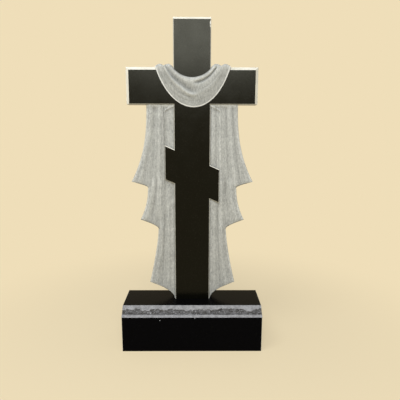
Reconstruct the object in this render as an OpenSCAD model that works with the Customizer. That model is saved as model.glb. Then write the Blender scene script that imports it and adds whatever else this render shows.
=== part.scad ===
// Memorial cross with a carved shroud: one slab of dark stone that stands on its own plinth.
// Millimetres, +Z up. The origin is the middle of the plinth's underside; the front faces -Y.
// Heights on the cross are measured up from the plinth's top, and widths out from the middle.

/* [Plinth] */
// Width across the front
plinth_w = 600; // [520:10:900]
// Depth from front face to back face
plinth_d = 200; // [190:5:400]
// Height from underside to top
plinth_h = 194; // [120:2:400]
// How far the rock-faced front chamfer drops below the top
chamfer_drop = 38; // [10:1:80]
// How far the rock-faced front chamfer reaches back from the front face
chamfer_run = 38; // [10:1:60]

/* [Cross] */
// Height from the plinth's top to the top of the head
cross_h = 1188; // [1060:2:1600]
// Thickness from the polished face to the flat back
slab_t = 80; // [50:1:96]
// Bare plinth top behind the slab
back_margin = 18; // [0:1:60]
// Width of the upright
stem_w = 152; // [120:2:190]
// Width from end to end of the arms
arm_span = 540; // [420:5:760]
// Height of the arms' front face, top edge to bottom edge
arm_h = 147; // [110:1:200]
// Height of the arms' underside above the plinth's top
arm_low = 851; // [740:1:960]
// Pale chamfer along the top and the ends of the arms
arm_chamfer = 12; // [3:1:20]
// Pale chamfer along the top of the head
head_chamfer = 9; // [3:1:20]
// Small bevel on every other front edge
arris = 3; // [1:0.5:5]

/* [Footrest] */
// Width of the slanted footrest bar
foot_w = 232; // [190:2:280]
// Thickness of the bar, square to its slant
foot_h = 133; // [80:1:160]
// Height of the bar's middle above the plinth's top
foot_mid = 561; // [440:1:640]
// Slant of the bar, high on the left and low on the right
foot_tilt = 23.7; // [5:0.1:35]

/* [Shroud tails] */
// Depth of the cloth's ground behind the polished face
tail_recess = 14; // [9:0.5:24]
// Height of the folds over that ground
fold_h = 8; // [2:0.5:8]
// Distance from one fold to the next at the top
fold_pitch = 40; // [25:1:60]
// Reach of the upper tier past the upright, at the arms
tier1_root = 114; // [80:1:140]
// Reach of the upper tier at its tip
tier1_tip = 184; // [142:1:220]
// Height of the upper tip
tier1_tip_z = 528; // [515:1:640]
// Reach of the middle tier at its top
tier2_root = 114; // [80:1:140]
// Height where the upper hem meets the middle tier
tier2_root_z = 504; // [420:1:512]
// Reach of the middle tier at its tip
tier2_tip = 149; // [142:1:180]
// Height of the middle tip
tier2_tip_z = 362; // [335:1:410]
// Reach of the lower tier at its top
tier3_root = 71; // [60:1:90]
// Height where the middle hem meets the lower tier
tier3_root_z = 323; // [270:1:332]
// Reach of the lower tier at its tip
tier3_tip = 113; // [92:1:140]
// Height of the lower tip
tier3_tip_z = 75; // [40:1:130]
// Reach of the cloth where it meets the plinth
base_reach = 4; // [3:1:30]

/* [Shroud swag] */
// How far the swag stands out from the polished face
swag_proud = 18; // [10:1:26]
// How far the swag hangs below the arms' underside
swag_drop = 12; // [0:1:40]
// How far the swag reaches past the upright where it crosses the arms' top edge
swag_reach = 79; // [50:1:110]
// Gap between the upright and the collar line where it crosses the arms' top edge
collar_gap = 4; // [0:0.5:12]
// How far the collar line dips below the arms' top
collar_dip = 40; // [30:1:60]
// Height of the two rolls of cloth over the arms' top
hump_h = 12; // [4:1:20]

/* [Hidden] */
black = "#1c1b18";
grey = "#aeada3";

stem_half = stem_w / 2;
face_y = plinth_d / 2 - back_margin - slab_t;
back_y = plinth_d / 2 - back_margin;
ground_y = face_y + tail_recess;
arm_top = arm_low + arm_h;
// How deep carved relief is sunk into the stone behind it
sink = 5;

// The edge of the cloth bends more towards each tip as its power rises
flare_powers = [2.5, 2.1, 1.4];
hem_power = 1.5;
base_power = 1.9;
flare_steps = 9;
hem_steps = 4;
fold_columns = 12;
// How far the folds stop inside the cloth's outline, and over what width they die away there
cloth_inset = 2;
edge_fade = 10;
// Least height of the cloth over its ground, and the depth of a valley as a share of a fold
thin_cloth = 0.6;
valley = 0.65;
// The folds spread by this share on the way down
fold_fan = 0.35;

// Flares: [top reach, top height, tip reach, tip height, power].
FLARES = [
    [tier1_root, arm_low, tier1_tip, tier1_tip_z, flare_powers[0]],
    [tier2_root, tier2_root_z, tier2_tip, tier2_tip_z, flare_powers[1]],
    [tier3_root, tier3_root_z, tier3_tip, tier3_tip_z, flare_powers[2]],
];
// Hems: [tip reach, tip height, inner reach, inner height, power].
HEMS = [
    [tier1_tip, tier1_tip_z, tier2_root, tier2_root_z, hem_power],
    [tier2_tip, tier2_tip_z, tier3_root, tier3_root_z, hem_power],
    [tier3_tip, tier3_tip_z, base_reach, 0, base_power],
];

// Edge of the cloth as [x, z], from the arms' underside down to the plinth.
function flare_point(f, t) = [stem_half + f[0] + (f[2] - f[0]) * pow(t, f[4]), f[1] + (f[3] - f[1]) * t];
function hem_point(h, t) =
    let (z = h[1] + (h[3] - h[1]) * t)
    [stem_half + h[2] + (h[0] - h[2]) * pow((z - h[3]) / (h[1] - h[3]), h[4]), z];
TAIL_EDGE = [
    for (tier = [0 : 2]) each [
        for (i = [0 : flare_steps - 1]) flare_point(FLARES[tier], i / flare_steps),
        for (i = [0 : hem_steps - 1]) hem_point(HEMS[tier], i / hem_steps),
    ],
    [stem_half + base_reach, 0],
];

// A relief is a front grid of points closed by a flat back that holds only the grid's rim.
// Rows start at the front's top left, and each row runs to the right.
function rim(rows, cols) = [
    for (j = [0 : cols - 1]) j,
    for (i = [1 : rows - 1]) i * cols + cols - 1,
    for (j = [cols - 2 : -1 : 0]) (rows - 1) * cols + j,
    for (i = [rows - 2 : -1 : 1]) i * cols,
];
function front_faces(rows, cols) = [
    for (i = [0 : rows - 2], j = [0 : cols - 2])
        let (a = i * cols + j, b = a + cols)
        each [[a, a + 1, b + 1], [a, b + 1, b]],
];
function side_faces(edge, first) = [
    for (k = [0 : len(edge) - 1])
        let (next = (k + 1) % len(edge))
        each [[edge[k], first + k, first + next], [edge[k], first + next, edge[next]]],
];
// The back is one strip between each two rows, with a fan at either end.
function back_faces(rows, cols, first) =
    let (
        n = 2 * (rows + cols) - 4,
        left = [for (i = [0 : rows - 1]) first + (n - i) % n],
        right = [for (i = [0 : rows - 1]) first + cols - 1 + i],
        low = [for (j = [0 : cols - 1]) first + 2 * (cols - 1) + rows - 1 - j],
        last = rows - 2
    )
    [
        for (j = [0 : cols - 2]) [first + j + 1, first + j, left[1]],
        [right[1], right[0], left[1]],
        for (i = [1 : last - 1]) each [
            [left[i], left[i + 1], right[i + 1]],
            [left[i], right[i + 1], right[i]],
        ],
        [left[last], right[last + 1], right[last]],
        for (j = [0 : cols - 2]) [left[last], low[j], low[j + 1]],
    ];
module relief(points, rows, cols, back) {
    edge = rim(rows, cols);
    first = rows * cols;
    polyhedron(
        concat(points, [for (k = edge) [points[k][0], back, points[k][2]]]),
        concat(front_faces(rows, cols), side_faces(edge, first), back_faces(rows, cols, first))
    );
}

// Folds hang nearly plumb and fan out a little; they die away at the cloth's outer edge.
function fold_height(out, reach, z) =
    let (
        spread = 1 + fold_fan * (arm_low - z) / arm_low,
        wave = 0.5 + 0.5 * cos(360 * out / (fold_pitch * spread)),
        edge = min(1, (reach - out) / edge_fade)
    )
    thin_cloth + (fold_h - thin_cloth) * edge * (1 - valley + valley * wave);

module tail_folds() {
    rows = len(TAIL_EDGE) + 1;
    points = [
        for (i = [0 : rows - 1])
            let (
                edge = TAIL_EDGE[max(0, i - 1)],
                z = i == 0 ? arm_low + sink : max(edge[1], 1),
                reach = edge[0] - cloth_inset
            )
            for (j = [0 : fold_columns])
                let (
                    share = 1 - pow(1 - j / fold_columns, 1.2),
                    x = stem_half - sink + share * (reach - stem_half + sink)
                )
                [x, ground_y - fold_height(x - stem_half, edge[0] - stem_half, z), z],
    ];
    relief(points, rows, fold_columns + 1, ground_y + sink);
}

// Both tails of the shroud: a plate with the cloth's outline, and its folds.
module tails() {
    hidden_top = arm_low + 2 * sink;
    for (side = [0, 1]) mirror([side, 0, 0]) {
        translate([0, back_y, 0]) rotate([90, 0, 0]) linear_extrude(back_y - ground_y)
            polygon([[0, 0], [0, hidden_top], [stem_half + tier1_root, hidden_top], each TAIL_EDGE]);
        tail_folds();
    }
}

// A block with its polished face at face_y: bevels of its own on the sides, the top and the bottom.
// It is centred on x and on z, and with a tilt its ends stay plumb.
module bevelled_block(width, height, side, top, low, tilt = 0) {
    long = width + 2 * height;
    intersection() {
        translate([0, 0, -long]) linear_extrude(2 * long) polygon([
            [side - width / 2, face_y], [width / 2 - side, face_y], [width / 2, face_y + side],
            [width / 2, back_y], [-width / 2, back_y], [-width / 2, face_y + side],
        ]);
        rotate([0, tilt, 0]) translate([-long, 0, 0]) rotate([90, 0, 90]) linear_extrude(2 * long) polygon([
            [face_y, low - height / 2], [face_y + low, -height / 2], [back_y, -height / 2],
            [back_y, height / 2], [face_y + top, height / 2], [face_y, height / 2 - top],
        ]);
    }
}

module upright() {
    translate([0, 0, cross_h / 2]) bevelled_block(stem_w, cross_h, arris, head_chamfer, 0);
}

module arms() {
    translate([0, 0, arm_low + arm_h / 2]) bevelled_block(arm_span, arm_h, arm_chamfer, arm_chamfer, arris);
}

module footrest() {
    translate([0, 0, foot_mid]) bevelled_block(foot_w, foot_h, arris, arris, arris, foot_tilt);
}

// The swag's lower edge is part of an upright ellipse, and its collar line is part of a circle.
swag_low = arm_low - swag_drop;
ellipse_b = 300;
ellipse_turn = acos(1 - (arm_top - swag_low) / ellipse_b);
ellipse_a = (stem_half + swag_reach) / sin(ellipse_turn);
collar_half = stem_half + collar_gap;
collar_r = (pow(collar_half, 2) + pow(collar_dip, 2)) / (2 * collar_dip);
collar_turn = asin(collar_half / collar_r);
swag_columns = 38;
swag_rows = 9;
// Depth of the two valleys that sweep across the swag, as a share of its height
swag_valley = 0.42;
// Least height of a shoulder roll as a share of its full height
roll_low = 0.28;

// A place on the swag as [x, z]: s is 0 at the collar and 1 at the lower edge, t is -1 to 1 across.
function swag_place(s, t) =
    let (
        collar_low = arm_top - collar_dip,
        collar = [collar_r * sin(t * collar_turn), collar_low + collar_r * (1 - cos(t * collar_turn))],
        low = [ellipse_a * sin(t * ellipse_turn), swag_low + ellipse_b * (1 - cos(t * ellipse_turn))]
    )
    collar + s * (low - collar);
function bell(v) = exp(-v * v);
// The cloth swells from a thin collar to a thick rolled edge, with one valley sweeping in from
// each shoulder: the left one runs low past the middle, and the right one stays near the collar.
function swag_height(s, t) =
    let (
        crown = min(1, 0.12 + 3.2 * s) * min(1, 0.45 + 5 * (1 - s)),
        left = bell((s - 0.54 - 0.06 * t) / 0.13) * min(1, max(0, 0.55 - 1.3 * t)),
        right = bell((s - 0.22 - 0.28 * t) / 0.11) * min(1, max(0, 0.4 + 1.3 * t))
    )
    swag_proud * crown * (1 - swag_valley * (left + right));
// Two rolls of cloth lie over the top of each arm.
function hump(s) = arm_top + hump_h * (roll_low + (1 - roll_low) * abs(sin(360 * s)));

// Rows of the swag's relief run up from the lower edge to the collar, from the left arm to the right.
// The first and last rows turn back over the arms' top, low enough to run in under the shoulder rolls.
module swag() {
    lip = 0.4;
    rows = swag_columns + 3;
    points = [
        for (i = [0 : rows - 1])
            let (
                over = i == 0 || i == rows - 1,
                t = min(1, max(-1, 2 * (i - 1) / swag_columns - 1))
            )
            for (j = [0 : swag_rows])
                let (
                    s = 1 - j / swag_rows,
                    p = swag_place(s, t)
                )
                over ? [p[0], face_y - swag_height(s, t) / 2, arm_top + lip * (hump(s) - arm_top)]
                     : [p[0], face_y - swag_height(s, t), p[1]],
    ];
    relief(points, rows, swag_rows + 1, face_y + sink);
}

// The cloth over the top of the arms, from the swag through to the flat back.
module shoulders() {
    shoulder_steps = 16;
    // The rolls are wider than the swag by this share of its width at each edge, so they cover its back
    spare = 0.02;
    foot = arm_top - arm_chamfer - sink;
    function across(s) = swag_place((1 + 2 * spare) * s - spare, 1)[0];
    for (side = [-1, 1])
        translate([0, back_y, 0]) rotate([90, 0, 0]) linear_extrude(slab_t + swag_proud / 9)
            polygon(concat(
                [for (k = [0 : shoulder_steps])
                    let (s = k / shoulder_steps)
                    [side * across(s), hump(s)]],
                [[side * across(1), foot], [side * across(0), foot]]
            ));
}

module shrouded_cross() {
    translate([0, 0, plinth_h]) {
        color(black) {
            upright();
            arms();
            footrest();
        }
        color(grey) {
            tails();
            shoulders();
            swag();
        }
    }
}

module plinth() {
    front = -plinth_d / 2;
    color(black)
        translate([-plinth_w / 2, 0, 0]) rotate([90, 0, 90]) linear_extrude(plinth_w) polygon([
            [front, 0], [-front, 0], [-front, plinth_h],
            [front + chamfer_run, plinth_h], [front, plinth_h - chamfer_drop],
        ]);
}

shrouded_cross();
plinth();
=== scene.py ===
"""Memorial cross with a carved shroud, on its own plinth. Metres, +Z up, front facing -Y."""

import math
from itertools import combinations

import bmesh
import bpy
import numpy as np
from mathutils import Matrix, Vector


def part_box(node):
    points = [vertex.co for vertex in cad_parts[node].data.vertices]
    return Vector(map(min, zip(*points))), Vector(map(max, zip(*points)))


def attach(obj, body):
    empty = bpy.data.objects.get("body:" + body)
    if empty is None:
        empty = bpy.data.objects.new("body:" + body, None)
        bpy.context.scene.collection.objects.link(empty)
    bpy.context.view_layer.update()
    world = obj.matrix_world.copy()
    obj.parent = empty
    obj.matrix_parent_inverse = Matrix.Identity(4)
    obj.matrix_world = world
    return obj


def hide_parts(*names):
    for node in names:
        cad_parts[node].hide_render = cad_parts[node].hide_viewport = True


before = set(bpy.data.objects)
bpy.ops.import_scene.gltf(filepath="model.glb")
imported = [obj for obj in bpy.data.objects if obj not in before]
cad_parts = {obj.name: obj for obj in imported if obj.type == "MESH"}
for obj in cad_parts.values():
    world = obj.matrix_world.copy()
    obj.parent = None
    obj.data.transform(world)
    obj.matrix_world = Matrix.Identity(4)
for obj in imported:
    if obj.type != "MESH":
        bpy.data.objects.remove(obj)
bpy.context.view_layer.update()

# ---------------------------------------------------------------------------------------------
# The cross's blocks: upright, arms and slanted footrest. In the real stone they are one slab of
# black gabbro, sawn to outline, bevelled along the front edges and polished to a mirror. The
# wide bevels on top of the head and round the arms are left honed and pale.
# ---------------------------------------------------------------------------------------------

slab_low, slab_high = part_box("shrouded_cross")
BASE_Z = slab_low.z
BACK_Y = slab_high.y
SLAB_THICKNESS = 0.080
FACE_Y = BACK_Y - SLAB_THICKNESS

STEM_WIDTH = 0.152
STEM_HALF = STEM_WIDTH / 2
CROSS_HEIGHT = slab_high.z - BASE_Z
ARM_SPAN = slab_high.x - slab_low.x
ARM_HEIGHT = 0.147
ARM_LOW = 0.851
ARM_TOP = ARM_LOW + ARM_HEIGHT
FOOT_WIDTH = 0.232
FOOT_HEIGHT = 0.133
FOOT_MID = 0.561
FOOT_TILT = math.radians(23.7)
ARRIS = 0.003
BACK_ARRIS = 0.002
ARM_CHAMFER = 0.012
HEAD_CHAMFER = 0.009


def add_node(tree, kind, inputs=None, **settings):
    """Adds a node. An input given as an output socket is linked, and any other value is set."""
    node = tree.nodes.new(kind)
    for name, value in settings.items():
        setattr(node, name, value)
    for key, value in (inputs or {}).items():
        socket = node.inputs[key]
        if isinstance(value, bpy.types.NodeSocket):
            tree.links.new(value, socket)
        else:
            socket.default_value = value
    return node


def colour(hex_code):
    """An sRGB hex colour as linear RGBA."""
    parts = [int(hex_code[i:i + 2], 16) / 255 for i in (1, 3, 5)]
    linear = [p / 12.92 if p <= 0.04045 else ((p + 0.055) / 1.055) ** 2.4 for p in parts]
    return (*linear, 1.0)


def new_material(name):
    """A material with an empty tree: returns it, its tree and its object coordinates in metres."""
    material = bpy.data.materials.new(name)
    material.use_nodes = True
    tree = material.node_tree
    tree.nodes.clear()
    place = add_node(tree, "ShaderNodeTexCoord").outputs["Object"]
    return material, tree, place


def polished_gabbro(name, ground, feldspar, index):
    """Polished black gabbro: crystals 1 to 3 mm across, nearly black, with sparse grey feldspar.

    It reads as a soft dark mirror. The index is matched, far under the mineral's 1.6, so that
    the pale studio all round doesn't wash the black out in the polish.
    """
    material, tree, place = new_material(name)
    crystal = add_node(tree, "ShaderNodeTexVoronoi", {"Vector": place, "Scale": 1 / 0.0022})
    fleck = add_node(tree, "ShaderNodeMapRange", {
        "Value": crystal.outputs["Color"], "From Min": 0.80, "From Max": 1.0, "To Min": 0.0, "To Max": 1.0})
    tint = add_node(tree, "ShaderNodeMix", {
        0: fleck.outputs["Result"], 6: colour(ground), 7: colour(feldspar)}, data_type="RGBA")
    haze = add_node(tree, "ShaderNodeTexNoise", {"Vector": place, "Scale": 1 / 0.060, "Detail": 3.0})
    gloss = add_node(tree, "ShaderNodeMapRange", {
        "Value": haze.outputs["Fac"], "From Min": 0.3, "From Max": 0.7, "To Min": 0.20, "To Max": 0.27})
    shader = add_node(tree, "ShaderNodeBsdfPrincipled", {
        "Base Color": tint.outputs[2], "Roughness": gloss.outputs["Result"], "IOR": index,
        "Specular Tint": (1.0, 0.99, 0.82, 1.0)})
    add_node(tree, "ShaderNodeOutputMaterial", {"Surface": shader.outputs["BSDF"]})
    return material


def honed_gabbro(name, pale, dark, roughness, patch=0.045, patch_share=0.4):
    """Gabbro ground matt and left unpolished: crushed crystals turn it pale, with fine grey grain.

    patch is the size in metres of the slow change in how far it was ground.
    """
    material, tree, place = new_material(name)
    grain = add_node(tree, "ShaderNodeTexNoise", {
        "Vector": place, "Scale": 1 / 0.0035, "Detail": 4.0, "Roughness": 0.65})
    cloud = add_node(tree, "ShaderNodeTexNoise", {"Vector": place, "Scale": 1 / patch, "Detail": 2.0})
    both = add_node(tree, "ShaderNodeMath", {
        0: cloud.outputs["Fac"], 1: patch_share, 2: grain.outputs["Fac"]}, operation="MULTIPLY_ADD")
    share = add_node(tree, "ShaderNodeMapRange", {
        "Value": both.outputs["Value"], "From Min": 0.32 + 0.5 * patch_share,
        "From Max": 0.66 + 0.5 * patch_share, "To Min": 0.0, "To Max": 1.0})
    tint = add_node(tree, "ShaderNodeMix", {
        0: share.outputs["Result"], 6: colour(dark), 7: colour(pale)}, data_type="RGBA")
    bump = add_node(tree, "ShaderNodeBump", {
        "Height": grain.outputs["Fac"], "Strength": 0.25, "Distance": 0.0006})
    shader = add_node(tree, "ShaderNodeBsdfPrincipled", {
        "Base Color": tint.outputs[2], "Roughness": roughness, "IOR": 1.5,
        "Normal": bump.outputs["Normal"]})
    add_node(tree, "ShaderNodeOutputMaterial", {"Surface": shader.outputs["BSDF"]})
    return material


POLISHED = polished_gabbro("polished_black_gabbro", "#050503", "#1b1b14", 1.24)
PALE_BEVEL = honed_gabbro("honed_pale_gabbro", "#e9e5d6", "#c9c5b6", 0.7)
PALE_ARRIS = honed_gabbro("ground_arris_gabbro", "#bdbbb0", "#8d8b81", 0.6)
POLISHED_SLOT, BEVEL_SLOT, ARRIS_SLOT, TOOLED_SLOT, RIM_SLOT, BRUISE_SLOT = range(6)


def convex_stone(planes):
    """The solid left between planes, each (outward normal, distance, finish slot), as a bmesh."""
    normals = np.array([p[0] for p in planes], float)
    limits = np.array([p[1] for p in planes])
    corners = []
    for trio in combinations(range(len(planes)), 3):
        matrix = normals[list(trio)]
        if abs(np.linalg.det(matrix)) > 1e-6:
            point = np.linalg.solve(matrix, limits[list(trio)])
            if np.all(normals @ point <= limits + 1e-7):
                corners.append(point)
    mesh = bmesh.new()
    for point in corners:
        mesh.verts.new(point)
    bmesh.ops.remove_doubles(mesh, verts=mesh.verts, dist=1e-6)
    bmesh.ops.convex_hull(mesh, input=mesh.verts)
    loose = [v for v in mesh.verts if not v.link_faces]
    bmesh.ops.delete(mesh, geom=loose, context="VERTS")
    bmesh.ops.recalc_face_normals(mesh, faces=mesh.faces)
    bmesh.ops.dissolve_limit(mesh, angle_limit=0.002, verts=mesh.verts, edges=mesh.edges)
    unit = normals / np.linalg.norm(normals, axis=1)[:, None]
    for face in mesh.faces:
        face.material_index = planes[int(np.argmax(unit @ np.array(face.normal)))][2]
    return mesh


def slab_block(outline, bevels, finishes):
    """A block as thick as the slab. Its outline edges are (normal x, normal z, distance).

    Each edge has a 45-degree bevel of the given width along the front, in the given finish, and
    a small arris along the back.
    """
    planes = [((0, -1, 0), -FACE_Y, POLISHED_SLOT), ((0, 1, 0), BACK_Y, POLISHED_SLOT)]
    for (nx, nz, distance), width, slot in zip(outline, bevels, finishes):
        planes.append(((nx, 0, nz), distance, POLISHED_SLOT))
        if width:
            planes.append(((nx, -1, nz), distance - width - FACE_Y, slot))
            planes.append(((nx, 1, nz), distance - BACK_ARRIS + BACK_Y, ARRIS_SLOT))
    return convex_stone(planes)


def rectangle(width, bottom, top, tilt=0.0):
    """Edges of a bar centred on x: right, left, top and bottom. A tilt keeps its ends plumb."""
    across = (math.sin(tilt), math.cos(tilt))
    return [(1, 0, width / 2), (-1, 0, width / 2), (*across, top), (-across[0], -across[1], -bottom)]


foot_offset = (BASE_Z + FOOT_MID) * math.cos(FOOT_TILT)
blocks = [
    slab_block(
        rectangle(STEM_WIDTH, BASE_Z, BASE_Z + CROSS_HEIGHT),
        [ARRIS, ARRIS, HEAD_CHAMFER, 0], [ARRIS_SLOT, ARRIS_SLOT, BEVEL_SLOT, 0]),
    slab_block(
        rectangle(ARM_SPAN, BASE_Z + ARM_LOW, BASE_Z + ARM_TOP),
        [ARM_CHAMFER, ARM_CHAMFER, ARM_CHAMFER, 0.002], [BEVEL_SLOT, BEVEL_SLOT, BEVEL_SLOT, ARRIS_SLOT]),
    slab_block(
        rectangle(FOOT_WIDTH, foot_offset - FOOT_HEIGHT / 2, foot_offset + FOOT_HEIGHT / 2, FOOT_TILT),
        [ARRIS] * 4, [ARRIS_SLOT, ARRIS_SLOT, BEVEL_SLOT, ARRIS_SLOT]),
]

# ---------------------------------------------------------------------------------------------
# The shroud's tails: a length of cloth that hangs behind the arms on either side of the upright,
# carved from the same slab. The sculptor sinks it behind the polished face, cuts the edge in
# three flared tiers and works the whole of it over with a fine point, which turns it pale grey.
# ---------------------------------------------------------------------------------------------

TAIL_RECESS = 0.014
FOLD_HEIGHT = 0.008
THIN_CLOTH = 0.001
EDGE_ROUND = 0.004
GROUND_Y = FACE_Y + TAIL_RECESS

# Flares: [top reach past the upright, top height, tip reach, tip height, power].
FLARES = [
    (0.114, ARM_LOW, 0.184, 0.528, 2.5),
    (0.114, 0.504, 0.149, 0.362, 2.1),
    (0.071, 0.323, 0.113, 0.075, 1.4),
]
# Hems: [tip reach, tip height, inner reach, inner height, power].
HEMS = [
    (0.184, 0.528, 0.114, 0.504, 1.5),
    (0.149, 0.362, 0.071, 0.323, 1.5),
    (0.113, 0.075, 0.004, 0.0, 1.9),
]
FLARE_ROW = 0.0032
HEM_ROWS = 20
TAIL_COLUMNS = 98

# Main folds: [out at the top, out at the bottom, top height, bottom height, half-width, height].
# "Out" is the distance past the upright's side. A negative height is a groove.
LEFT_FOLDS = [
    (0.014, 0.012, 0.90, 0.55, 0.020, 0.42),
    (0.0375, 0.036, 0.90, 0.50, 0.0020, 0.55),
    (0.0440, 0.043, 0.90, 0.50, 0.0019, 0.42),
    (0.0408, 0.0395, 0.90, 0.50, 0.0016, -0.20),
    (0.060, 0.072, 0.90, 0.40, 0.012, 0.62),
    (0.079, 0.104, 0.90, 0.50, 0.0055, -0.40),
    (0.093, 0.150, 0.90, 0.52, 0.010, 0.55),
    (0.068, 0.076, 0.86, 0.60, 0.0022, -0.16),
    (0.052, 0.058, 0.80, 0.52, 0.0020, -0.14),
    (0.092, 0.128, 0.54, 0.36, 0.010, 0.62),
    (0.078, 0.098, 0.54, 0.37, 0.0045, -0.28),
    (0.060, 0.064, 0.54, 0.20, 0.011, 0.45),
    (0.026, 0.030, 0.52, 0.08, 0.010, 0.50),
    (0.043, 0.060, 0.40, 0.06, 0.0035, -0.26),
    (0.056, 0.090, 0.34, 0.06, 0.010, 0.55),
    (0.008, 0.010, 0.46, 0.02, 0.008, 0.40),
]
RIGHT_FOLDS = [
    (0.010, 0.010, 0.90, 0.62, 0.010, 0.50),
    (0.024, 0.026, 0.90, 0.56, 0.0030, -0.16),
    (0.040, 0.046, 0.90, 0.44, 0.013, 0.48),
    (0.033, 0.036, 0.88, 0.52, 0.0018, -0.20),
    (0.046, 0.054, 0.88, 0.50, 0.0018, -0.18),
    (0.064, 0.084, 0.90, 0.48, 0.0032, -0.20),
    (0.078, 0.112, 0.90, 0.50, 0.011, 0.60),
    (0.092, 0.134, 0.88, 0.51, 0.0035, -0.22),
    (0.103, 0.162, 0.90, 0.52, 0.008, 0.45),
    (0.084, 0.120, 0.54, 0.36, 0.011, 0.60),
    (0.066, 0.086, 0.54, 0.37, 0.0040, -0.28),
    (0.048, 0.052, 0.54, 0.22, 0.011, 0.52),
    (0.018, 0.022, 0.50, 0.06, 0.009, 0.50),
    (0.034, 0.050, 0.42, 0.06, 0.0035, -0.28),
    (0.048, 0.082, 0.34, 0.05, 0.010, 0.58),
    (0.004, 0.006, 0.46, 0.02, 0.007, 0.40),
]


def smooth(value):
    """0 below 0 and 1 above 1, with a smooth step between."""
    value = np.clip(value, 0.0, 1.0)
    return value * value * (3 - 2 * value)


def bell(value):
    """1 at 0, falling smoothly to nothing by about 2 on either side."""
    return np.exp(-value * value)


def tail_edge():
    """Reach past the upright and height of the cloth's edge, from under the arms to the plinth."""
    points = [(FLARES[0][0], ARM_LOW + 0.010)]
    for (top, top_z, tip, tip_z, power), (_, _, inner, inner_z, hem_power) in zip(FLARES, HEMS):
        rows = round((top_z - tip_z) / FLARE_ROW)
        for t in np.arange(rows) / rows:
            points.append((top + (tip - top) * t ** power, top_z + (tip_z - top_z) * t))
        for t in np.arange(HEM_ROWS) / HEM_ROWS:
            z = tip_z + (inner_z - tip_z) * t
            share = (z - inner_z) / (tip_z - inner_z)
            points.append((inner + (tip - inner) * share ** hem_power, z))
    points.append((HEMS[-1][2], 0.0))
    return np.array(points)


def distance_to_line(points, line):
    """Distance from each 2-D point to a line of joined segments, and the nearest segment's number."""
    nearest, segment = np.full(len(points), 1e9), np.zeros(len(points), int)
    for k, (a, b) in enumerate(zip(line[:-1], line[1:])):
        along = b - a
        t = np.clip(((points - a) @ along) / (along @ along), 0, 1)
        gap = np.hypot(*(points - a - t[:, None] * along).T)
        closer = gap < nearest
        nearest[closer], segment[closer] = gap[closer], k
    return nearest, segment


def fold_profile(out, height, folds):
    """Height of the cloth over its ground, as a share of FOLD_HEIGHT."""
    cloth = np.full(out.shape, 0.22)
    for top, low, top_z, low_z, half_width, rise in folds:
        down = np.clip((top_z - height) / (top_z - low_z), 0, 1)
        middle = top + (low - top) * down ** 1.8
        life = smooth((top_z + 0.02 - height) / 0.05) * smooth((height - low_z + 0.05) / 0.09)
        cloth = cloth + rise * life * bell((out - middle) / half_width)
    below_arm = ARM_LOW - height
    cloth = cloth + (0.85 - cloth) * bell(np.maximum(below_arm - 0.003, 0) / 0.008)
    crease = below_arm - 0.004 - 0.55 * out
    reach = smooth((0.046 - out) / 0.012) * smooth((out + 0.004) / 0.006)
    cloth = cloth + reach * (0.5 * bell(crease / 0.0032) - 0.12 * bell((crease - 0.008) / 0.0050))
    return np.clip(cloth, 0.0, 1.0)


def grid_mesh(front, back, slots):
    """A closed mesh from a front grid of points and either a back grid or one flat back's y.

    slots gives the finish of each cell of the grid; the side walls take that of the cell beside.
    """
    rows, cols = front.shape[:2]
    rim = [(0, j) for j in range(cols)] + [(i, cols - 1) for i in range(1, rows)]
    rim += [(rows - 1, j) for j in range(cols - 2, -1, -1)] + [(i, 0) for i in range(rows - 2, 0, -1)]
    mesh = bmesh.new()
    fronts = [[mesh.verts.new(p) for p in row] for row in front]
    if np.ndim(back):
        backs = [[mesh.verts.new(p) for p in row] for row in back]
        under = {place: backs[place[0]][place[1]] for place in rim}
    else:
        under = {(i, j): mesh.verts.new((front[i, j, 0], back, front[i, j, 2])) for i, j in rim}

    def add_face(corners, i, j):
        mesh.faces.new(corners).material_index = int(slots[min(i, rows - 2), min(j, cols - 2)])

    for i in range(rows - 1):
        for j in range(cols - 1):
            add_face([fronts[i][j], fronts[i + 1][j], fronts[i + 1][j + 1], fronts[i][j + 1]], i, j)
            if np.ndim(back):
                add_face([backs[i][j], backs[i][j + 1], backs[i + 1][j + 1], backs[i + 1][j]], i, j)
    for here, there in zip(rim, rim[1:] + rim[:1]):
        a, b = fronts[here[0]][here[1]], fronts[there[0]][there[1]]
        add_face([a, b, under[there], under[here]], min(here[0], there[0]), min(here[1], there[1]))
    if not np.ndim(back):
        add_face([under[place] for place in rim], 0, 0)
    bmesh.ops.recalc_face_normals(mesh, faces=mesh.faces)
    return mesh


EDGE = tail_edge()


def tail_mesh(side, folds):
    """One tail: side is 1 for the right and -1 for the left."""
    spread = 1 - (1 - np.linspace(0, 1, TAIL_COLUMNS)) ** 1.25
    inner = -0.006
    out = inner + spread[None, :] * (EDGE[:, :1] - inner)
    height = np.repeat(EDGE[:, 1:], TAIL_COLUMNS, axis=1)
    to_edge, _ = distance_to_line(np.column_stack([out.ravel(), height.ravel()]), EDGE)
    to_edge = to_edge.reshape(out.shape)
    to_edge[height > ARM_LOW] = 1.0
    swell = 0.45 + 0.55 * smooth(to_edge / 0.012)
    cloth = THIN_CLOTH + (FOLD_HEIGHT - THIN_CLOTH) * fold_profile(out, height, folds) * swell
    inside = np.clip(EDGE_ROUND - to_edge, 0, EDGE_ROUND)
    fall = EDGE_ROUND - np.sqrt(np.maximum(EDGE_ROUND ** 2 - inside ** 2, 0))
    front = np.stack([side * (STEM_HALF + out), GROUND_Y - cloth + fall, BASE_Z + height], axis=-1)
    return grid_mesh(front if side > 0 else front[:, ::-1], BACK_Y, np.full(out.shape, TOOLED_SLOT))


tails = [tail_mesh(-1, LEFT_FOLDS), tail_mesh(1, RIGHT_FOLDS)]

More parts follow.
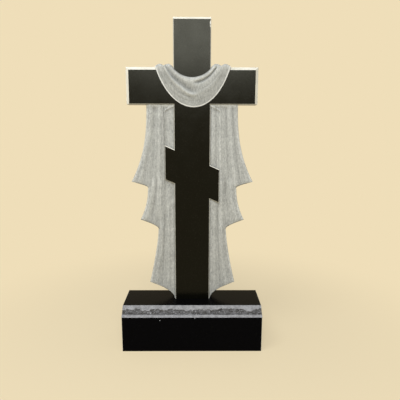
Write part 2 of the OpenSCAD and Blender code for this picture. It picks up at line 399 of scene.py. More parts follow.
# ---------------------------------------------------------------------------------------------
# The swag: the middle of the same cloth, raised in front of the crossing. It hangs from the
# shoulders in a deep curve, two valleys sweep in from the arms, and it turns back over the arms'
# top in two rolls a side. Its lower edge is a narrow ground bevel, paler than the rest.
# ---------------------------------------------------------------------------------------------

SWAG_PROUD = 0.018
SWAG_LOW = ARM_LOW - 0.012
SWAG_HALF = STEM_HALF + 0.079
ELLIPSE_B = 0.300
COLLAR_HALF = STEM_HALF + 0.004
COLLAR_DIP = 0.040
HUMP_HEIGHT = 0.012
ROLL_LOW = 0.28
RIM_WIDTH = 0.0050
SWAG_LEAN = 0.006
SWAG_SUNK = 0.006
OVER_RUN = 0.020
OVER_DEPTH = 0.012
SWAG_ACROSS = 60
SWAG_ALONG = 200
OVER_ROWS = 9
TOP_ROWS = 12

ELLIPSE_TURN = math.acos(1 - (ARM_TOP - SWAG_LOW) / ELLIPSE_B)
ELLIPSE_A = SWAG_HALF / math.sin(ELLIPSE_TURN)
COLLAR_R = (COLLAR_HALF ** 2 + COLLAR_DIP ** 2) / (2 * COLLAR_DIP)
COLLAR_TURN = math.asin(COLLAR_HALF / COLLAR_R)

GROUND_RIM = honed_gabbro("ground_rim_gabbro", "#deded9", "#c4c4be", 0.6)


def swag_place(s, t):
    """x and z on the swag: s runs from the collar to the lower edge, t from left to right."""
    collar_x = COLLAR_R * np.sin(t * COLLAR_TURN)
    collar_z = ARM_TOP - COLLAR_DIP + COLLAR_R * (1 - np.cos(t * COLLAR_TURN))
    low_x = ELLIPSE_A * np.sin(t * ELLIPSE_TURN) + SWAG_LEAN * (1 - np.maximum(t, 0))
    low_z = SWAG_LOW + ELLIPSE_B * (1 - np.cos(t * ELLIPSE_TURN))
    return collar_x + s * (low_x - collar_x), collar_z + s * (low_z - collar_z)


def steep_bell(value, gentle, steep):
    """A valley with a gentle side towards the collar and a steep side towards the lower edge."""
    return np.where(value < 0, bell(value / gentle), bell(value / steep))


def swag_widths(s, t):
    """Distance from a point of the swag to the collar's edge and to the lower edge."""
    collar_x, collar_z = swag_place(0 * s, t)
    low_x, low_z = swag_place(0 * s + 1, t)
    width = np.hypot(low_x - collar_x, low_z - collar_z)
    return s * width, (1 - s) * width


def swag_height(s, t):
    """How far the swag stands out from the polished face."""
    from_collar, from_edge = swag_widths(s, t)
    rise = 0.12 + 0.88 * np.sqrt(np.clip(1 - (1 - np.clip(from_collar / 0.018, 0, 1)) ** 2, 0, 1))
    belly = 1 - 0.52 * smooth((s - 0.52) / 0.48) ** 0.8
    rim = 0.80 + 0.20 * smooth(from_edge / RIM_WIDTH)
    left_line = 0.31 + 0.14 * smooth((t + 0.45) / 0.5)
    fade_left = smooth((0.22 - t) / 0.30)
    left = steep_bell(s - left_line, 0.16, 0.080) * fade_left
    fade_ridge = smooth((0.18 - t) / 0.22)
    ridge = bell((s - left_line - 0.145) / 0.052) * fade_ridge
    under_ridge = bell((s - left_line - 0.29) / 0.070) * fade_ridge
    right_line = 0.195 + 0.075 * t ** 2
    right = steep_bell(s - right_line, 0.055, 0.045) * smooth((t + 0.02) / 0.30)
    collar_roll = bell((s - 0.09) / 0.05) * smooth((t - 0.0) / 0.4)
    creases = 0.05 * bell((s - 0.66 + 0.03 * t) / 0.020) * smooth((0.25 - t) / 0.4)
    creases = creases + 0.05 * bell((s - 0.80 + 0.02 * t) / 0.018) * smooth((0.5 - t) / 0.4)
    creases = creases + 0.05 * bell((s - 0.42 - 0.12 * t) / 0.020) * smooth((t - 0.05) / 0.4)
    creases = creases + 0.04 * bell((s - 0.62 - 0.10 * t) / 0.022) * smooth((t - 0.0) / 0.5)
    folds = 0.84 - 0.38 * left - 0.36 * right + 0.19 * ridge - 0.08 * under_ridge + 0.05 * collar_roll
    shape = rise * belly * rim * folds
    return SWAG_PROUD * np.clip(shape - creases * smooth(from_edge / 0.012), 0.05, 1.0)


def hump(s):
    """Height of the edge of the two rolls on each arm, over the arm's top."""
    wave = np.sqrt(np.sin(2 * math.pi * s) ** 2 + 0.004)
    return ARM_TOP + HUMP_HEIGHT * (ROLL_LOW + (1 - ROLL_LOW) * np.minimum(wave, 1))


def swag_mesh():
    """The hanging part, then the rolls that turn over each arm and run to the flat back."""
    s = 1 - np.linspace(0, 1, SWAG_ACROSS) ** 1.2
    front, back = [], []
    for t in np.linspace(-1, 1, SWAG_ALONG):
        x, z = swag_place(s, t)
        near_top = smooth((z - ARM_TOP + 0.045) / 0.045)
        front.append(np.stack([x, FACE_Y - swag_height(s, t + 0 * s), z], axis=-1))
        sunk_y = FACE_Y + SWAG_SUNK + OVER_RUN * near_top
        back.append(np.stack([x, sunk_y, z - OVER_DEPTH * near_top], axis=-1))
    for side in (-1, 1):
        x, _ = swag_place(s, side)
        start_y = FACE_Y - swag_height(s, side + 0 * s)
        inner_y = FACE_Y + SWAG_SUNK + OVER_RUN
        over_front, over_back = [], []
        for k in range(1, OVER_ROWS + 1):
            turn = math.pi / 2 * k / OVER_ROWS
            y = start_y + OVER_RUN * (1 - math.cos(turn))
            over_front.append((x, y, ARM_TOP + (hump(s) - ARM_TOP) * math.sin(turn)))
            over_back.append((x, inner_y + 0.001 * k + 0 * s, ARM_TOP - OVER_DEPTH + 0 * s))
        first_y = over_front[-1][1]
        for k in range(1, TOP_ROWS + 1):
            share = k / TOP_ROWS
            y = first_y + (BACK_Y - first_y) * share
            drop = 0.004 * smooth((share - 0.86) / 0.14) ** 2
            sway = 0.0012 * math.sin(7 * share + side)
            over_front.append((x, y, hump(s) + sway * np.sin(math.pi * s) * (1 - share) - drop))
            inner = inner_y + 0.001 * OVER_ROWS
            over_back.append((x, inner + (BACK_Y - inner) * share + 0 * s, ARM_TOP - OVER_DEPTH + 0 * s))
        over_front = [np.stack(p, axis=-1) for p in over_front]
        over_back = [np.stack(p, axis=-1) for p in over_back]
        if side < 0:
            front, back = over_front[::-1] + front, over_back[::-1] + back
        else:
            front, back = front + over_front, back + over_back
    front, back = np.array(front), np.array(back)
    front[..., 2] += BASE_Z
    back[..., 2] += BASE_Z
    slots = np.full(front.shape[:2], TOOLED_SLOT)
    over = OVER_ROWS + TOP_ROWS
    for k, t in enumerate(np.linspace(-1, 1, SWAG_ALONG)):
        _, from_edge = swag_widths(s, t)
        slots[over + k, np.append(from_edge[1:], 1.0) < RIM_WIDTH] = RIM_SLOT
    return grid_mesh(front, back, slots)


swag = swag_mesh()

# ---------------------------------------------------------------------------------------------
# The finish of the cloth, and the whole cross. The cloth is worked over with a point and a
# bush hammer: short plumb strokes and pits that leave crushed, pale grey stone.
# ---------------------------------------------------------------------------------------------

STROKE_WIDTH = 0.0042
STROKE_LENGTH = 0.013
PIT_SIZE = 0.0045
WELD = 0.00001
PAINTED_SHADING_PASSES = 70
CROSS_CREASE = 38


def tooled_gabbro():
    """Gabbro worked over with a point: matt pale grey, in short plumb strokes with pits between.

    The pits and strokes are a little coarser than a real point leaves, so that they show. The
    colour is scaled by painted light and shade: paler on ridges and tops, darker in valleys.
    """
    material, tree, place = new_material("tooled_gabbro_cloth")
    strokes_at = add_node(tree, "ShaderNodeMapping", {
        "Vector": place, "Scale": (1 / STROKE_WIDTH, 1 / STROKE_WIDTH, 1 / STROKE_LENGTH)})
    strokes = add_node(tree, "ShaderNodeTexNoise", {
        "Vector": strokes_at.outputs["Vector"], "Scale": 1.0, "Detail": 2.0, "Roughness": 0.55})
    grit = add_node(tree, "ShaderNodeTexNoise", {
        "Vector": place, "Scale": 1 / PIT_SIZE, "Detail": 3.0, "Roughness": 0.6})
    cloud = add_node(tree, "ShaderNodeTexNoise", {"Vector": place, "Scale": 1 / 0.070, "Detail": 3.0})
    worked = add_node(tree, "ShaderNodeMath", {
        0: grit.outputs["Fac"], 1: 0.9, 2: strokes.outputs["Fac"]}, operation="MULTIPLY_ADD")
    worked = add_node(tree, "ShaderNodeMath", {
        0: cloud.outputs["Fac"], 1: 0.35, 2: worked.outputs["Value"]}, operation="MULTIPLY_ADD")
    share = add_node(tree, "ShaderNodeMapRange", {
        "Value": worked.outputs["Value"], "From Min": 0.72, "From Max": 1.52, "To Min": 0.0, "To Max": 1.0})
    tint = add_node(tree, "ShaderNodeMix", {
        0: share.outputs["Result"], 6: colour("#7f807c"), 7: colour("#bfbfb8")}, data_type="RGBA")
    # Painted light and shade: the colour is scaled by the light and shade stored on each point of the
    # cloth.
    painted_shading_node = add_node(tree, "ShaderNodeAttribute", attribute_name="painted_shading")
    shade = add_node(tree, "ShaderNodeMapRange", {
        "Value": painted_shading_node.outputs["Fac"], "From Min": 0.0, "From Max": 1.0, "To Min": 0.60, "To Max": 1.40})
    shaded = add_node(tree, "ShaderNodeVectorMath", {
        0: tint.outputs[2], 3: shade.outputs["Result"]}, operation="SCALE")
    bump = add_node(tree, "ShaderNodeBump", {
        "Height": worked.outputs["Value"], "Strength": 0.4, "Distance": 0.0008})
    shader = add_node(tree, "ShaderNodeBsdfPrincipled", {
        "Base Color": shaded.outputs["Vector"], "Roughness": 0.9, "IOR": 1.45,
        "Normal": bump.outputs["Normal"]})
    add_node(tree, "ShaderNodeOutputMaterial", {"Surface": shader.outputs["BSDF"]})
    return material


def point_tooling_tree(cloth):
    """Geometry Nodes: works the carved front of the cloth over in short plumb strokes.

    Sizes are in metres. Stone behind the back limit is left flat, and ground rims keep their finish.
    """
    tree = bpy.data.node_groups.new("point_tooling", "GeometryNodeTree")
    face = tree.interface
    face.new_socket("Geometry", in_out="INPUT", socket_type="NodeSocketGeometry")
    for name, value in (("Stroke width", 0.004), ("Stroke length", 0.014), ("Depth", 0.0005),
                        ("Back limit", 0.0), ("Seed", 5.0)):
        face.new_socket(name, in_out="INPUT", socket_type="NodeSocketFloat").default_value = value
    face.new_socket("Geometry", in_out="OUTPUT", socket_type="NodeSocketGeometry")
    given = add_node(tree, "NodeGroupInput").outputs
    place = add_node(tree, "GeometryNodeInputPosition").outputs["Position"]
    stroke = add_node(tree, "ShaderNodeCombineXYZ", {
        "X": given["Stroke width"], "Y": given["Stroke width"], "Z": given["Stroke length"]})
    scaled = add_node(tree, "ShaderNodeVectorMath", {
        0: place, 1: stroke.outputs["Vector"]}, operation="DIVIDE")
    noise = add_node(tree, "ShaderNodeTexNoise", {
        "Vector": scaled.outputs["Vector"], "W": given["Seed"], "Scale": 1.0, "Detail": 1.0},
        noise_dimensions="4D")
    swing = add_node(tree, "ShaderNodeMath", {0: noise.outputs["Fac"], 1: 0.5}, operation="SUBTRACT")
    depth = add_node(tree, "ShaderNodeMath", {
        0: swing.outputs["Value"], 1: given["Depth"]}, operation="MULTIPLY")
    normal = add_node(tree, "GeometryNodeInputNormal").outputs["Normal"]
    offset = add_node(tree, "ShaderNodeVectorMath", {
        0: normal, 3: depth.outputs["Value"]}, operation="SCALE")
    split = add_node(tree, "ShaderNodeSeparateXYZ", {"Vector": place}).outputs
    in_front = add_node(tree, "ShaderNodeMath", {
        0: split["Y"], 1: given["Back limit"]}, operation="LESS_THAN")
    worked = add_node(tree, "GeometryNodeSetPosition", {
        "Geometry": given["Geometry"], "Selection": in_front.outputs["Value"],
        "Offset": offset.outputs["Vector"]})
    real = add_node(tree, "GeometryNodeRealizeInstances", {"Geometry": worked.outputs["Geometry"]})
    not_rim = add_node(tree, "GeometryNodeMaterialSelection", {"Material": cloth})
    finished = add_node(tree, "GeometryNodeSetMaterial", {
        "Geometry": real.outputs["Geometry"], "Selection": not_rim.outputs["Selection"], "Material": cloth})
    add_node(tree, "NodeGroupOutput", {"Geometry": finished.outputs["Geometry"]})
    return tree


def run_tree(piece, tree, **sizes):
    """Runs a Geometry Nodes tree on a piece, with its inputs by name, and keeps the plain mesh."""
    step = piece.modifiers.new(tree.name, "NODES")
    step.node_group = tree
    names = {item.name: item.identifier for item in tree.interface.items_tree if item.in_out == "INPUT"}
    for name, value in sizes.items():
        step[names[name.replace("_", " ")]] = value
    result = bpy.data.meshes.new_from_object(piece.evaluated_get(bpy.context.evaluated_depsgraph_get()))
    piece.modifiers.clear()
    old, piece.data = piece.data, result
    bpy.data.meshes.remove(old)
    return piece


CLOTH = tooled_gabbro()
BRUISED = honed_gabbro("bruised_gabbro", "#eeece4", "#b5b3aa", 0.85)
CROSS_FINISHES = [POLISHED, PALE_BEVEL, PALE_ARRIS, CLOTH, GROUND_RIM, BRUISED]


def stone_object(name, mesh, finishes):
    """Turns a bmesh into an object at the origin, with its finishes as material slots."""
    data = bpy.data.meshes.new(name)
    mesh.to_mesh(data)
    mesh.free()
    for finish in finishes:
        data.materials.append(finish)
    piece = bpy.data.objects.new(name, data)
    bpy.context.collection.objects.link(piece)
    return piece


def joined(whole, others, operation="UNION"):
    """Joins solids to the first one, or cuts them from it or keeps what they share: one plain mesh."""
    for other in others:
        step = whole.modifiers.new("join", "BOOLEAN")
        step.operation = operation
        step.solver = "MANIFOLD"
        step.material_mode = "INDEX"
        step.object = other
    result = bpy.data.meshes.new_from_object(whole.evaluated_get(bpy.context.evaluated_depsgraph_get()))
    whole.modifiers.clear()
    old, whole.data = whole.data, result
    bpy.data.meshes.remove(old)
    for other in others:
        bpy.data.objects.remove(other)
    return whole


def chip_cutter(name, place, size, seed, finishes):
    """A rough lump that bites a chip out of an edge and leaves bruised stone."""
    random = np.random.default_rng(seed)
    points = random.normal(size=(26, 3))
    points *= (0.82 + 0.18 * random.random((26, 1))) / np.linalg.norm(points, axis=1)[:, None]
    mesh = bmesh.new()
    for point in points * np.array(size) + np.array(place):
        mesh.verts.new(point)
    bmesh.ops.convex_hull(mesh, input=mesh.verts)
    bmesh.ops.delete(mesh, geom=[v for v in mesh.verts if not v.link_faces], context="VERTS")
    bmesh.ops.recalc_face_normals(mesh, faces=mesh.faces)
    for face in mesh.faces:
        face.material_index = BRUISE_SLOT
    return stone_object(name, mesh, finishes)


carvings = blocks + tails + [swag]
parts = [stone_object(f"carving_{k}", mesh, CROSS_FINISHES) for k, mesh in enumerate(carvings)]
tooling = point_tooling_tree(CLOTH)
for part, depth in zip(parts[len(blocks):], (0.0011, 0.0011, 0.0010)):
    run_tree(part, tooling, Depth=depth, Back_limit=GROUND_Y + 0.001)
    for point in part.data.vertices:  # the foot stays flat on the plinth
        point.co.z = max(point.co.z, BASE_Z)
cross = joined(parts[0], parts[1:])
cross.name = cross.data.name = "shrouded_cross_stone"
high_chip = (STEM_HALF - 0.0026, FACE_Y, slab_high.z - 0.022)
low_chip = (STEM_HALF - 0.0020, FACE_Y, slab_high.z - 0.034)
joined(cross, [
    chip_cutter("chip_high", high_chip, (0.0046, 0.0034, 0.0080), 4, CROSS_FINISHES),
    chip_cutter("chip_low", low_chip, (0.0040, 0.0030, 0.0065), 7, CROSS_FINISHES),
], "DIFFERENCE")


def weld(piece):
    """Welds points that the cuts leave nearly on top of each other, and splits the faces.

    Narrow many-sided faces would fold over when something else splits them into triangles. A
    flap, which is two faces back to back on the same three points, is removed.
    """
    mesh = bmesh.new()
    mesh.from_mesh(piece.data)
    bmesh.ops.remove_doubles(mesh, verts=mesh.verts, dist=WELD)
    bmesh.ops.dissolve_degenerate(mesh, edges=mesh.edges, dist=WELD / 10)
    bmesh.ops.triangulate(mesh, faces=mesh.faces)
    twins = {}
    for face in mesh.faces:
        twins.setdefault(frozenset(face.verts), []).append(face)
    flaps = [face for pair in twins.values() if len(pair) > 1 for face in pair]
    bmesh.ops.delete(mesh, geom=flaps, context="FACES")
    mesh.to_mesh(piece.data)
    mesh.free()


def plain_back(piece):
    """The back is sawn and polished in one flat face, cloth and all."""
    for face in piece.data.polygons:
        if face.normal.y > 0.999 and face.center.y > BACK_Y - 0.0005:
            face.material_index = POLISHED_SLOT


def shade_by_angle(piece, degrees):
    """Shades smoothly, apart from edges sharper than the angle."""
    piece.data.polygons.foreach_set("use_smooth", [True] * len(piece.data.polygons))
    piece.data.set_sharp_from_angle(angle=math.radians(degrees))


def mark_painted_shading(piece):
    """Stores painted light and shade per point of cloth: 0.5 is even, 1 a lit ridge, 0 a shaded valley."""
    data = piece.data
    count = len(data.vertices)
    co = np.empty(count * 3)
    data.vertices.foreach_get("co", co)
    x, y, z = co.reshape(-1, 3).T
    cloth = np.zeros(count, bool)
    for face in data.polygons:
        if face.material_index == TOOLED_SLOT and face.normal.y < 0.2:
            cloth[list(face.vertices)] = True
    ends = np.empty(len(data.edges) * 2, int)
    data.edges.foreach_get("vertices", ends)
    a, b = ends.reshape(-1, 2)[cloth[ends.reshape(-1, 2)].all(axis=1)].T
    degree = np.maximum(np.bincount(a, minlength=count) + np.bincount(b, minlength=count), 1)
    proud, even = -y, -y
    for _ in range(PAINTED_SHADING_PASSES):
        total = np.bincount(a, weights=even[b], minlength=count)
        total += np.bincount(b, weights=even[a], minlength=count)
        even = np.where(cloth, 0.5 * even + 0.5 * total / degree, even)
    over = z > BASE_Z + ARM_TOP - 0.004
    # Painted shade in hollows and painted light on ridges, from how far a point stands off its neighbours.
    hollow = np.clip((proud - even) / 0.0022, -1, 1)
    # Painted light from above: the swag is lightened towards the arms' top.
    lit = smooth((z - BASE_Z - ARM_TOP + 0.034) / 0.034) * (y < FACE_Y)
    proud_cloth = (y < FACE_Y - 0.001) & ~over
    # Painted shading: even at 0.5, the proud swag set darker overall, with the painted shade and light
    # above and painted light on the rolls over the arms.
    painted_shading = 0.5 - 0.16 * proud_cloth + 0.34 * np.where(over, 0.0, hollow) + 0.24 * np.maximum(lit, over)
    tail = cloth & (y > FACE_Y + 0.001) & (z < BASE_Z + ARM_LOW + 0.001)
    out, height = np.abs(x[tail]) - STEM_HALF, z[tail] - BASE_Z
    gap, segment = distance_to_line(np.column_stack([out, height]), EDGE)
    hem = EDGE[segment, 0] - EDGE[segment + 1, 0] > 0.0004
    inner_hem = hem & (out < 0.160) & (height > 0.30)
    # Painted highlight along the tails' flared outer edges, away from the hems.
    tail_painted_shading = painted_shading[tail] + 0.30 * smooth(1 - gap / 0.007) * ~hem
    # Painted shadow: a dark line along the inner part of the two upper hems.
    tail_painted_shading = tail_painted_shading - 0.9 * smooth(1.4 - gap / 0.0038) * inner_hem
    # Painted highlight: the cloth is lightened in a strip just under the arms.
    tail_painted_shading = tail_painted_shading + 0.26 * smooth(1.2 - (ARM_LOW - height) / 0.012)
    painted_shading[tail] = tail_painted_shading
    layer = data.attributes.new("painted_shading", "FLOAT", "POINT")
    layer.data.foreach_set("value", np.clip(painted_shading, 0, 1).astype(np.float32))


weld(cross)
plain_back(cross)
shade_by_angle(cross, CROSS_CREASE)
mark_painted_shading(cross)
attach(cross, "root")
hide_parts("shrouded_cross")

# ---------------------------------------------------------------------------------------------
# The plinth: one block of the same black stone, polished, that the cross stands on. Its front
# top edge is a wide chamfer, broken with a pitching tool to a rock face and left between two
# ground margins.
# ---------------------------------------------------------------------------------------------

plinth_low, plinth_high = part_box("plinth")
CHAMFER_DROP = 0.038
CHAMFER_RUN = 0.038
CHAMFER_WIDTH = math.hypot(CHAMFER_DROP, CHAMFER_RUN)
PLINTH_ARRIS = 0.0015
ROCK_CELL = 0.0018
PLINTH_CREASE = 34


def plinth_block():
    """The dressed block, with small arrises. Its chamfer is left full, for the rock face to cut."""
    low, high = np.array(plinth_low), np.array(plinth_high)
    planes = [((1, 0, 0), high[0], 0), ((-1, 0, 0), -low[0], 0), ((0, 1, 0), high[1], 0),
              ((0, -1, 0), -low[1], 0), ((0, 0, 1), high[2], 0), ((0, 0, -1), -low[2], 0)]
    planes.append(((0, -CHAMFER_DROP, CHAMFER_RUN), CHAMFER_DROP * (0.003 - low[1] - CHAMFER_RUN)
                   + CHAMFER_RUN * high[2], 0))
    for side in (-1, 1):
        end = high[0] if side > 0 else -low[0]
        planes.append(((side, 1, 0), end + high[1] - PLINTH_ARRIS, ARRIS_SLOT))
        planes.append(((side, -1, 0), end - low[1] - PLINTH_ARRIS, ARRIS_SLOT))
        planes.append(((side, 0, 1), end + high[2] - PLINTH_ARRIS, ARRIS_SLOT))
    planes.append(((0, 1, 1), high[1] + high[2] - PLINTH_ARRIS, ARRIS_SLOT))
    return convex_stone(planes)


def rock_blank():
    """A larger block whose only face inside the plinth is the chamfer, as a fine grid of points."""
    cols = round((plinth_high.x - plinth_low.x) / ROCK_CELL) + 1
    rows = round(CHAMFER_WIDTH / ROCK_CELL) + 1
    spare = 0.08
    top = np.array([plinth_low.y + CHAMFER_RUN, plinth_high.z])
    low = np.array([plinth_low.y, plinth_high.z - CHAMFER_DROP])
    line = [top + (low - top) * share for share in np.linspace(-spare, 1 + spare, rows)]
    line.append(np.array([line[-1][0], plinth_low.z - 0.01]))
    across = np.linspace(plinth_low.x - 0.004, plinth_high.x + 0.004, cols)
    front = np.array([[(x, y, z) for x in across] for y, z in line])
    return grid_mesh(front, plinth_high.y + 0.004, np.full(front.shape[:2], BEVEL_SLOT))


def rock_gabbro():
    """Freshly broken gabbro: dark crystal faces with bright crushed flecks, very rough."""
    material, tree, place = new_material("rock_faced_gabbro")
    lumps_at = add_node(tree, "ShaderNodeMapping", {
        "Vector": place, "Scale": (1 / 0.022, 1 / 0.009, 1 / 0.009)})
    lumps = add_node(tree, "ShaderNodeTexNoise", {
        "Vector": lumps_at.outputs["Vector"], "Scale": 1.0, "Detail": 5.0, "Roughness": 0.7})
    crush = add_node(tree, "ShaderNodeTexNoise", {
        "Vector": place, "Scale": 1 / 0.0060, "Detail": 4.0, "Roughness": 0.75})
    body = add_node(tree, "ShaderNodeMapRange", {
        "Value": lumps.outputs["Fac"], "From Min": 0.38, "From Max": 0.66, "To Min": 0.0, "To Max": 1.0})
    fleck = add_node(tree, "ShaderNodeMapRange", {
        "Value": crush.outputs["Fac"], "From Min": 0.58, "From Max": 0.67, "To Min": 0.0, "To Max": 1.0})
    dark = add_node(tree, "ShaderNodeMix", {
        0: body.outputs["Result"], 6: colour("#0b0b0d"), 7: colour("#676769")}, data_type="RGBA")
    tint = add_node(tree, "ShaderNodeMix", {
        0: fleck.outputs["Result"], 6: dark.outputs[2], 7: colour("#bfbfc1")}, data_type="RGBA")
    bump = add_node(tree, "ShaderNodeBump", {
        "Height": crush.outputs["Fac"], "Strength": 0.6, "Distance": 0.002})
    shader = add_node(tree, "ShaderNodeBsdfPrincipled", {
        "Base Color": tint.outputs[2], "Roughness": 0.65, "IOR": 1.5, "Normal": bump.outputs["Normal"]})
    add_node(tree, "ShaderNodeOutputMaterial", {"Surface": shader.outputs["BSDF"]})
    return material


PLINTH_POLISH = polished_gabbro("polished_plinth_gabbro", "#040406", "#121316", 1.09)
MARGIN = honed_gabbro("ground_margin_gabbro", "#9c9c9e", "#737375", 0.65, patch=0.016, patch_share=0.8)
BRUISED_PLINTH = honed_gabbro("bruised_plinth_gabbro", "#c4c4c4", "#808080", 0.85)
ROCK = rock_gabbro()


def pitched_face_tree(rock):
    """Geometry Nodes: breaks the band of a chamfer between its two margins into a rock face.

    Depth, lump size and bite size are in metres. The margins and the bites' reach into the top
    one are shares of the chamfer's width.
    """
    tree = bpy.data.node_groups.new("pitched_face", "GeometryNodeTree")
    face = tree.interface
    face.new_socket("Geometry", in_out="INPUT", socket_type="NodeSocketGeometry")
    for name, value in (("Top margin", 0.36), ("Low margin", 0.20), ("Depth", 0.005), ("Lump size", 0.016),
                        ("Bite size", 0.030), ("Bite reach", 0.5), ("Seed", 3.0)):
        face.new_socket(name, in_out="INPUT", socket_type="NodeSocketFloat").default_value = value
    face.new_socket("Geometry", in_out="OUTPUT", socket_type="NodeSocketGeometry")
    given = add_node(tree, "NodeGroupInput").outputs

    place = add_node(tree, "GeometryNodeInputPosition").outputs["Position"]
    split = add_node(tree, "ShaderNodeSeparateXYZ", {"Vector": place})
    across = add_node(tree, "ShaderNodeMapRange", {
        "Value": split.outputs["Z"], "From Min": plinth_high.z, "From Max": plinth_high.z - CHAMFER_DROP,
        "To Min": 0.0, "To Max": 1.0}, clamp=False).outputs["Result"]
    on_chamfer = add_node(tree, "ShaderNodeMath", {
        0: across, 1: 0.5, 2: 0.53}, operation="COMPARE").outputs["Value"]
    bite_scale = add_node(tree, "ShaderNodeMath", {0: 1.0, 1: given["Bite size"]}, operation="DIVIDE")
    bites = add_node(tree, "ShaderNodeTexNoise", {
        "Vector": place, "W": given["Seed"], "Scale": bite_scale.outputs["Value"], "Detail": 3.0,
        "Roughness": 0.6}, noise_dimensions="4D")
    bite = add_node(tree, "ShaderNodeMath", {0: bites.outputs["Fac"], 1: 0.5}, operation="SUBTRACT")
    top_edge = add_node(tree, "ShaderNodeMath", {
        0: bite.outputs["Value"], 1: given["Bite reach"], 2: given["Top margin"]}, operation="MULTIPLY_ADD")
    past_top = add_node(tree, "ShaderNodeMath", {
        0: across, 1: top_edge.outputs["Value"]}, operation="SUBTRACT")
    low_edge = add_node(tree, "ShaderNodeMath", {0: 1.0, 1: given["Low margin"]}, operation="SUBTRACT")
    before_low = add_node(tree, "ShaderNodeMath", {
        0: low_edge.outputs["Value"], 1: across}, operation="SUBTRACT")
    inside = add_node(tree, "ShaderNodeMath", {
        0: past_top.outputs["Value"], 1: before_low.outputs["Value"]}, operation="MINIMUM").outputs["Value"]
    slope = add_node(tree, "ShaderNodeMapRange", {
        "Value": inside, "From Min": 0.0, "From Max": 0.10, "To Min": 0.0, "To Max": 1.0},
        interpolation_type="SMOOTHSTEP")
    band = add_node(tree, "ShaderNodeMath", {
        0: slope.outputs["Result"], 1: on_chamfer}, operation="MULTIPLY")
    lump_scale = add_node(tree, "ShaderNodeMath", {0: 1.0, 1: given["Lump size"]}, operation="DIVIDE")
    lumps = add_node(tree, "ShaderNodeTexNoise", {
        "Vector": place, "W": given["Seed"], "Scale": lump_scale.outputs["Value"], "Detail": 6.0,
        "Roughness": 0.6}, noise_dimensions="4D")
    bottom = add_node(tree, "ShaderNodeMath", {
        0: lumps.outputs["Fac"], 1: 2.6, 2: -1.9}, operation="MULTIPLY_ADD")
    hollow = add_node(tree, "ShaderNodeMath", {0: bottom.outputs["Value"], 1: 0.0}, operation="MINIMUM")
    deepest = add_node(tree, "ShaderNodeMath", {
        0: hollow.outputs["Value"], 1: given["Depth"]}, operation="MULTIPLY")
    depth = add_node(tree, "ShaderNodeMath", {
        0: deepest.outputs["Value"], 1: band.outputs["Value"]}, operation="MULTIPLY")
    outward = (0.0, -CHAMFER_DROP / CHAMFER_WIDTH, CHAMFER_RUN / CHAMFER_WIDTH)
    offset = add_node(tree, "ShaderNodeVectorMath", {
        0: outward, 3: depth.outputs["Value"]}, operation="SCALE")
    broken = add_node(tree, "GeometryNodeSetPosition", {
        "Geometry": given["Geometry"], "Offset": offset.outputs["Vector"]})
    real = add_node(tree, "GeometryNodeRealizeInstances", {"Geometry": broken.outputs["Geometry"]})
    well_inside = add_node(tree, "ShaderNodeMath", {0: inside, 1: 0.015}, operation="GREATER_THAN")
    is_rock = add_node(tree, "ShaderNodeMath", {
        0: well_inside.outputs["Value"], 1: on_chamfer}, operation="MULTIPLY")
    rocky = add_node(tree, "GeometryNodeSetMaterial", {
        "Geometry": real.outputs["Geometry"], "Selection": is_rock.outputs["Value"], "Material": rock})
    add_node(tree, "NodeGroupOutput", {"Geometry": rocky.outputs["Geometry"]})
    return tree


PLINTH_FINISHES = [PLINTH_POLISH, MARGIN, PALE_ARRIS, ROCK, GROUND_RIM, BRUISED_PLINTH]
blank = stone_object("rock_blank", rock_blank(), PLINTH_FINISHES)
run_tree(
    blank, pitched_face_tree(ROCK),
    Depth=0.0055, Top_margin=0.34, Low_margin=0.19, Bite_reach=0.95, Seed=8.0)
plinth = joined(stone_object("plinth_stone", plinth_block(), PLINTH_FINISHES), [blank], "INTERSECT")
joined(plinth, [
    chip_cutter("chip_front", (-0.137, plinth_low.y, 0.143), (0.0024, 0.0014, 0.0022), 11, PLINTH_FINISHES),
    chip_cutter("chip_edge", (0.012, plinth_low.y, plinth_high.z - CHAMFER_DROP - 0.001),
                (0.0028, 0.0022, 0.0034), 12, PLINTH_FINISHES),
], "DIFFERENCE")
weld(plinth)
shade_by_angle(plinth, PLINTH_CREASE)
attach(plinth, "root")
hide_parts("plinth")

# ---------------------------------------------------------------------------------------------
# Studio: a plain pale floor, a pale background, soft daylight from the upper left, and a camera
# at a standing person's height, a little over a metre and a half away.
# ---------------------------------------------------------------------------------------------

BACKGROUND = colour("#efdeb9")
FLOOR_RADIUS = 40.0


def seen_directly(tree):
    """1 for what the camera, a gloss or a glass sees, and 0 for the light that falls on things."""
    ray = add_node(tree, "ShaderNodeLightPath").outputs
    seen = add_node(tree, "ShaderNodeMath", {
        0: ray["Is Camera Ray"], 1: ray["Is Glossy Ray"]}, operation="MAXIMUM").outputs["Value"]
    return add_node(tree, "ShaderNodeMath", {
        0: seen, 1: ray["Is Transmission Ray"]}, operation="MAXIMUM").outputs["Value"]


def pale_floor():
    """Matt pale paper that keeps the object's shadow near it and runs into the background."""
    material, tree, place = new_material("pale_paper_floor")
    reach = add_node(tree, "ShaderNodeVectorMath", {0: place}, operation="LENGTH").outputs["Value"]
    blend = add_node(tree, "ShaderNodeMapRange", {
        "Value": reach, "From Min": 0.35, "From Max": 1.5, "To Min": 0.60, "To Max": 1.0},
        interpolation_type="SMOOTHSTEP").outputs["Result"]
    share = add_node(tree, "ShaderNodeMath", {0: blend, 1: seen_directly(tree)}, operation="MULTIPLY")
    paper = add_node(tree, "ShaderNodeBsdfDiffuse", {"Color": colour("#ecdcb8")})
    glow = add_node(tree, "ShaderNodeEmission", {"Color": BACKGROUND, "Strength": 1.0})
    mixed = add_node(tree, "ShaderNodeMixShader", {
        0: share.outputs["Value"], 1: paper.outputs["BSDF"], 2: glow.outputs["Emission"]})
    add_node(tree, "ShaderNodeOutputMaterial", {"Surface": mixed.outputs["Shader"]})
    return material


floor_mesh = bmesh.new()
bmesh.ops.create_circle(floor_mesh, cap_ends=True, segments=96, radius=FLOOR_RADIUS)
floor = stone_object("studio_floor", floor_mesh, [pale_floor()])


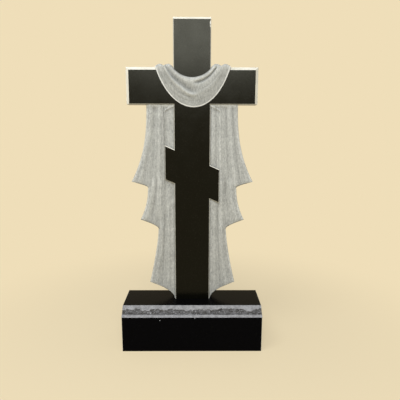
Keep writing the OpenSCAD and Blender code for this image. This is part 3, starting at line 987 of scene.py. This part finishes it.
def soft_world():
    """Even light from all round; what is seen of it is the pale background."""
    world = bpy.data.worlds.new("soft_studio")
    world.use_nodes = True
    tree = world.node_tree
    tree.nodes.clear()
    seen = add_node(tree, "ShaderNodeBackground", {"Color": BACKGROUND, "Strength": 1.0})
    dome = add_node(tree, "ShaderNodeBackground", {"Color": colour("#f2f6ff"), "Strength": 0.345})
    mixed = add_node(tree, "ShaderNodeMixShader", {
        0: seen_directly(tree), 1: dome.outputs["Background"], 2: seen.outputs["Background"]})
    add_node(tree, "ShaderNodeOutputWorld", {"Surface": mixed.outputs["Shader"]})
    return world


bpy.context.scene.world = soft_world()


def soft_lamp(name, place, target, width, height, power):
    """A softbox at place that faces target."""
    light = bpy.data.lights.new(name, "AREA")
    light.shape = "RECTANGLE"
    light.size = width
    light.size_y = height
    light.energy = power
    light.color = (0.96, 0.98, 1.0)
    lamp = bpy.data.objects.new(name, light)
    bpy.context.collection.objects.link(lamp)
    lamp.location = place
    aim = np.array(target, float) - np.array(place, float)
    flat = math.hypot(aim[0], aim[1])
    turn = math.atan2(aim[1], aim[0]) - math.pi / 2
    lamp.rotation_euler = (math.pi / 2 + math.atan2(aim[2], flat), 0, turn)
    return lamp


soft_lamp("front_softbox", (0.0, -3.0, 2.28), (0, 0, 1.1), 1.8, 1.3, 78)
soft_lamp("high_softbox", (-1.1, -1.2, 3.1), (0, 0, 0.8), 1.3, 1.3, 35)

CAMERA_PLACE = (0.0193, -1.6174, 0.9402)
CAMERA_DOWN = math.radians(10.30)
CAMERA_RIGHT = math.radians(0.47)
CAMERA_ROLL = math.radians(-0.17)
SENSOR = 36.0
LENS = 34.56

camera_data = bpy.data.cameras.new("camera")
camera_data.sensor_width = SENSOR
camera_data.lens = LENS
camera_data.clip_start = 0.05
camera = bpy.data.objects.new("camera", camera_data)
bpy.context.collection.objects.link(camera)
camera.location = CAMERA_PLACE
camera.rotation_mode = "XYZ"
camera.rotation_euler = (math.pi / 2 - CAMERA_DOWN, CAMERA_ROLL, -CAMERA_RIGHT)
bpy.context.scene.camera = camera
bpy.context.scene.view_settings.view_transform = "Standard"
